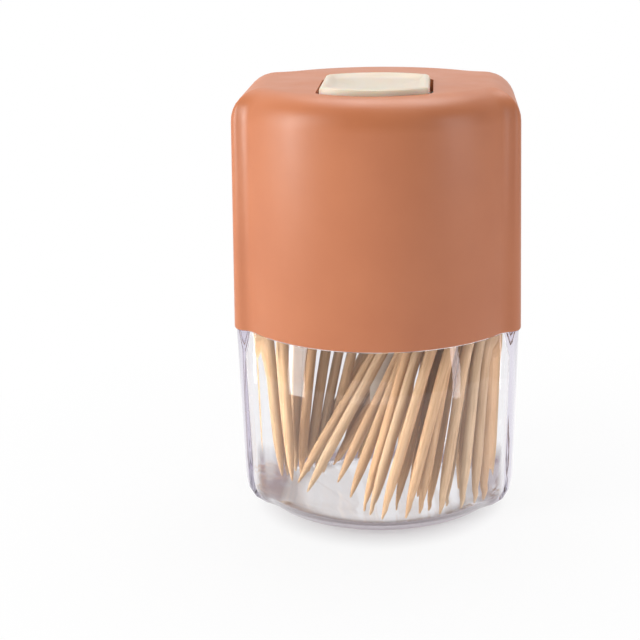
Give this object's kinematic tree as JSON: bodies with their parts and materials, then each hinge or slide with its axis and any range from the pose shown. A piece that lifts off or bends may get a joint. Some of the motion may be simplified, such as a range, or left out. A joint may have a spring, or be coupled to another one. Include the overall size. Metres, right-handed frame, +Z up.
{
  "type": "toothpick dispenser",
  "caption": "Press-button toothpick dispenser: bowed clear jar holding picks, pull-off cap with a sprung dished button and a lifter inside.",
  "frame": {"origin": "centre of the jar's foot, on the table", "axes": "+Z up, +X to the right of the front, -Y towards the front, where the bow is deeper and the button lies nearer"},
  "size_m": [0.0506, 0.048, 0.0792],
  "materials": {
    "clear_plastic": "clear, glossy",
    "terracotta_plastic": "satin",
    "frame_plastic": "satin",
    "cream_plastic": "satin gloss",
    "screw_steel": "plated",
    "spring_steel": "bright wire",
    "bamboo": "dry, unvarnished"
  },
  "bodies": {
    "jar": {"jar": "clear_plastic", "toothpicks_1": "bamboo", "toothpicks_2": "bamboo", "toothpicks_3": "bamboo", "toothpicks_4": "bamboo", "toothpicks_5": "bamboo", "toothpicks_6": "bamboo", "toothpicks_7": "bamboo", "toothpicks_8": "bamboo", "toothpicks_9": "bamboo", "toothpicks_back_1": "bamboo", "toothpicks_back_2": "bamboo", "toothpicks_back_3": "bamboo", "toothpicks_left_1": "bamboo", "toothpicks_left_2": "bamboo"},
    "lid": {"cap_shell": "terracotta_plastic", "inner_frame": "frame_plastic", "frame_screws": "screw_steel", "return_spring": "spring_steel"},
    "button": {"button": "cream_plastic", "lifter": "frame_plastic"}
  },
  "joints": [
    {"name": "lid_lift", "type": "slide", "parent": "jar", "child": "lid", "axis": [0, 0, 1], "range_m": [0, 0.07]},
    {"name": "button_press", "type": "slide", "parent": "lid", "child": "button", "axis": [0, 0, -1], "range_m": [0, 0.013], "stiffness_N_per_m": 120, "springref_m": -0.004, "deforming": ["return_spring"]}
  ]
}
